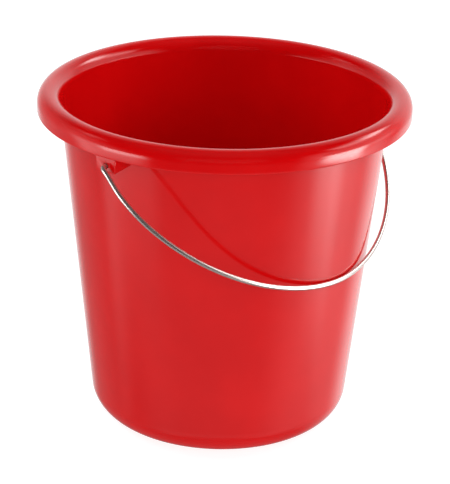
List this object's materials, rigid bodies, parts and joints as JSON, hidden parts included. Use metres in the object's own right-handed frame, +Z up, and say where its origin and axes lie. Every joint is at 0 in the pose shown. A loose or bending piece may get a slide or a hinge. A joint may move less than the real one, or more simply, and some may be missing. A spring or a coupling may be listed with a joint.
{
  "type": "wash bucket",
  "caption": "Round tapered plastic bucket with an outward-rolled rim, two moulded ears and a swinging wire bail.",
  "frame": {"origin": "centre of the foot ring on the surface that the bucket stands on", "axes": "+Z up the bucket's axis; X along the bail's pivot axis, through both ears; the bail rests on the -Y side"},
  "size_m": [0.3032, 0.29, 0.269],
  "materials": {
    "red_plastic": "smooth moulded polypropylene, glossy, through-coloured red",
    "bright_wire": "bright galvanised drawn wire with faint lengthwise drawing lines"
  },
  "bodies": {
    "bucket": {"bucket_body": "red_plastic"},
    "bail": {"bail_wire": "bright_wire"}
  },
  "joints": [
    {"name": "bail_swing", "type": "hinge", "parent": "bucket", "child": "bail", "pos_m": [0, 0, 0.2465], "axis": [-1, 0, 0], "range_deg": [0, 262.66]}
  ]
}
